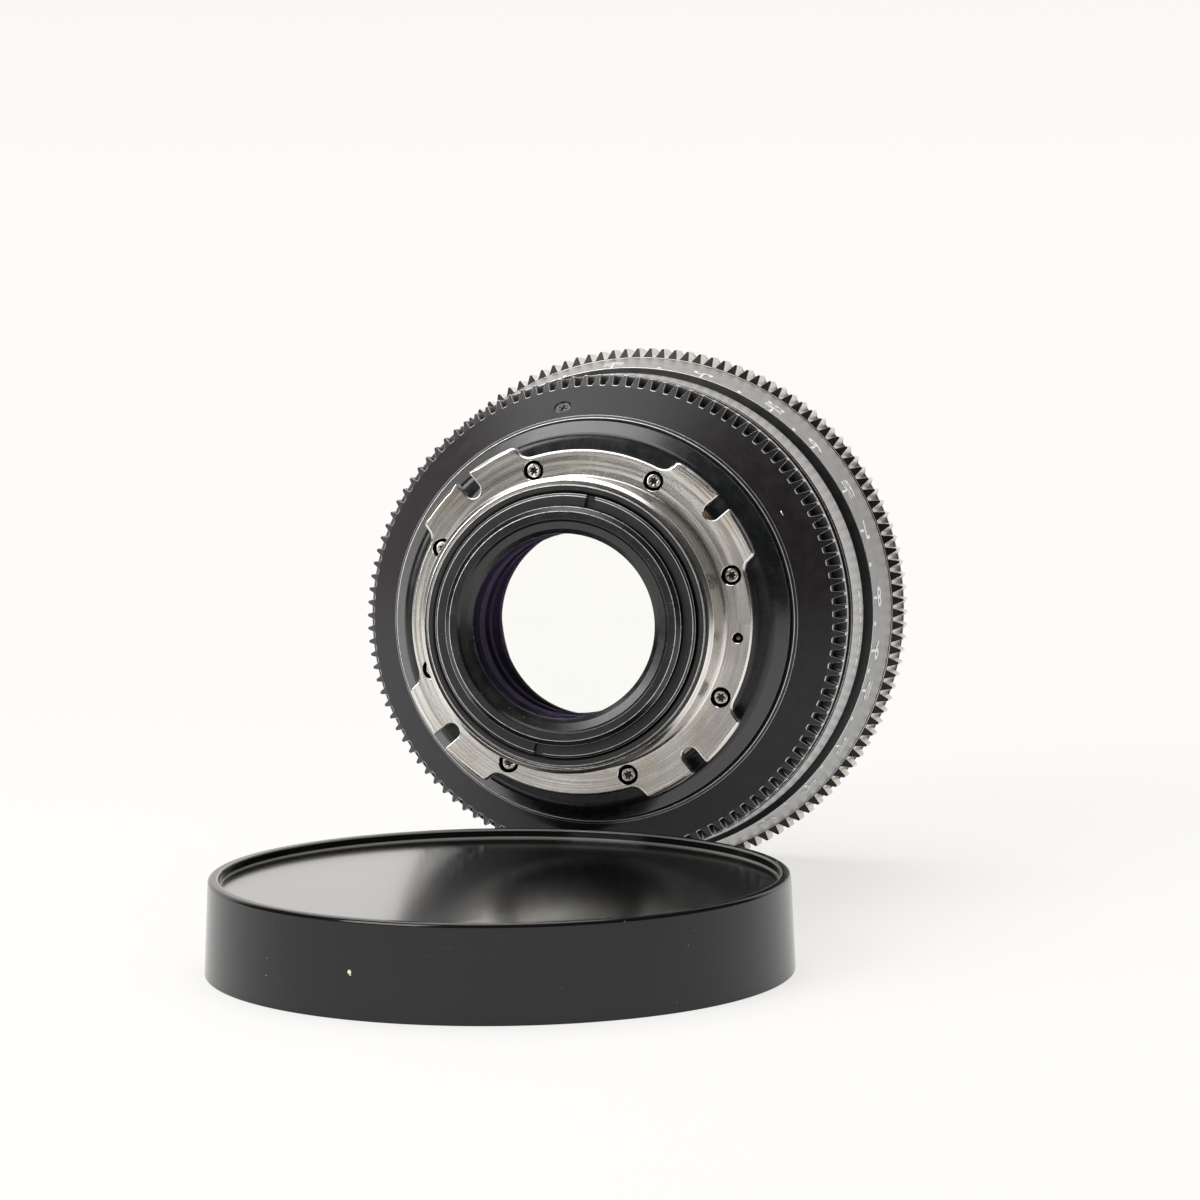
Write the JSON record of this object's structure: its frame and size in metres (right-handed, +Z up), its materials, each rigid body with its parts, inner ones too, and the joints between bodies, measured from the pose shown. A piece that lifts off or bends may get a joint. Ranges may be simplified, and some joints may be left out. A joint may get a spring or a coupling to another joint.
{
  "type": "cinema prime lens",
  "caption": "Cinema prime lens on its side with its front cap off: four-tab steel mount, geared iris and focus rings, bladed iris and sliding front group.",
  "frame": {"origin": "on the ground, under the middle of the box round the lens and its cap", "axes": "+Z up from the ground; +Y towards the front of the lens, whose axis dips by 3.75 degrees to the front; +X to the right seen from behind the mount"},
  "size_m": [0.113, 0.1894, 0.1058],
  "materials": {
    "stainless": "machined, stained",
    "screw_steel": "satin",
    "screw_black": "blackened",
    "shim_brass": "satin",
    "helicoid_brass": "greased",
    "black_anodised": "satin anodised",
    "ring_black": "worn anodised",
    "gloss_black": "polished anodised",
    "inner_black": "matt black",
    "blade_steel": "blackened",
    "coated_glass": "coated",
    "cap_plastic": "moulded gloss"
  },
  "bodies": {
    "housing": {"mount_flange": "stainless", "mount_screws": "screw_steel", "locating_pin": "screw_steel", "flange_shim": "shim_brass", "rear_barrel": "black_anodised", "rear_sleeve": "inner_black", "rear_retainer": "inner_black", "rear_cell": "inner_black", "rear_element": "coated_glass", "rear_spacer": "inner_black", "rear_inner_element": "coated_glass", "rear_lock_ring": "inner_black", "iris_carrier": "inner_black", "iris_lock_ring": "inner_black", "index_band": "gloss_black", "centre_barrel": "black_anodised", "guide_keys": "screw_steel", "helicoid_retainer": "inner_black", "front_barrel": "black_anodised", "front_ring": "inner_black", "front_cap": "cap_plastic"},
    "iris_ring": {"iris_ring": "ring_black", "iris_face_screw": "screw_black", "iris_drive_pin": "screw_steel", "iris_cam_ring": "helicoid_brass"},
    "focus_ring": {"focus_ring": "ring_black", "helicoid_ring": "helicoid_brass", "focus_drive_pin": "screw_steel"},
    "focus_carrier": {"focus_carrier": "inner_black", "carrier_element": "coated_glass", "carrier_spacer": "inner_black", "middle_element": "coated_glass", "middle_spacer": "inner_black", "front_element": "coated_glass", "front_lock_ring": "inner_black"},
    "iris_blade_1": {"iris_blade_1": "blade_steel"},
    "iris_blade_2": {"iris_blade_2": "blade_steel"},
    "iris_blade_3": {"iris_blade_3": "blade_steel"},
    "iris_blade_4": {"iris_blade_4": "blade_steel"},
    "iris_blade_5": {"iris_blade_5": "blade_steel"},
    "iris_blade_6": {"iris_blade_6": "blade_steel"},
    "iris_blade_7": {"iris_blade_7": "blade_steel"},
    "iris_blade_8": {"iris_blade_8": "blade_steel"},
    "iris_blade_9": {"iris_blade_9": "blade_steel"}
  },
  "joints": [
    {"name": "iris_turn", "type": "hinge", "parent": "housing", "child": "iris_ring", "pos_m": [0.00375, 0.01659, 0.05622], "axis": [0, 0.9979, -0.0653], "range_deg": [0, 60]},
    {"name": "focus_turn", "type": "hinge", "parent": "housing", "child": "focus_ring", "pos_m": [0.00375, 0.0595, 0.05341], "axis": [0, 0.9979, -0.0653], "range_deg": [-140, 140]},
    {"name": "carrier_slide", "type": "slide", "parent": "housing", "child": "focus_carrier", "axis": [0, 0.9979, -0.0653], "range_m": [-0.00389, 0.00389]},
    {"name": "blade_1_swing", "type": "hinge", "parent": "housing", "child": "iris_blade_1", "pos_m": [-0.02145, 0.0106, 0.05661], "axis": [0, 0.9979, -0.0653], "range_deg": [0, 42]},
    {"name": "blade_2_swing", "type": "hinge", "parent": "housing", "child": "iris_blade_2", "pos_m": [-0.01555, 0.01166, 0.07277], "axis": [0, 0.9979, -0.0653], "range_deg": [0, 42]},
    {"name": "blade_3_swing", "type": "hinge", "parent": "housing", "child": "iris_blade_3", "pos_m": [-0.00063, 0.01222, 0.08137], "axis": [0, 0.9979, -0.0653], "range_deg": [0, 42]},
    {"name": "blade_4_swing", "type": "hinge", "parent": "housing", "child": "iris_blade_4", "pos_m": [0.01635, 0.01203, 0.07838], "axis": [0, 0.9979, -0.0653], "range_deg": [0, 42]},
    {"name": "blade_5_swing", "type": "hinge", "parent": "housing", "child": "iris_blade_5", "pos_m": [0.02743, 0.01116, 0.06521], "axis": [0, 0.9979, -0.0653], "range_deg": [0, 42]},
    {"name": "blade_6_swing", "type": "hinge", "parent": "housing", "child": "iris_blade_6", "pos_m": [0.02743, 0.01004, 0.04801], "axis": [0, 0.9979, -0.0653], "range_deg": [0, 42]},
    {"name": "blade_7_swing", "type": "hinge", "parent": "housing", "child": "iris_blade_7", "pos_m": [0.01635, 0.00918, 0.03483], "axis": [0, 0.9979, -0.0653], "range_deg": [0, 42]},
    {"name": "blade_8_swing", "type": "hinge", "parent": "housing", "child": "iris_blade_8", "pos_m": [-0.00063, 0.00898, 0.03184], "axis": [0, 0.9979, -0.0653], "range_deg": [0, 42]},
    {"name": "blade_9_swing", "type": "hinge", "parent": "housing", "child": "iris_blade_9", "pos_m": [-0.01555, 0.00954, 0.04044], "axis": [0, 0.9979, -0.0653], "range_deg": [0, 42]}
  ],
  "couplings": [
    {"joint": "carrier_slide", "follows": "focus_turn", "m_per_rad": 0.0015915},
    {"joint": "blade_1_swing", "follows": "iris_turn", "ratio": 0.7},
    {"joint": "blade_2_swing", "follows": "iris_turn", "ratio": 0.7},
    {"joint": "blade_3_swing", "follows": "iris_turn", "ratio": 0.7},
    {"joint": "blade_4_swing", "follows": "iris_turn", "ratio": 0.7},
    {"joint": "blade_5_swing", "follows": "iris_turn", "ratio": 0.7},
    {"joint": "blade_6_swing", "follows": "iris_turn", "ratio": 0.7},
    {"joint": "blade_7_swing", "follows": "iris_turn", "ratio": 0.7},
    {"joint": "blade_8_swing", "follows": "iris_turn", "ratio": 0.7},
    {"joint": "blade_9_swing", "follows": "iris_turn", "ratio": 0.7}
  ]
}
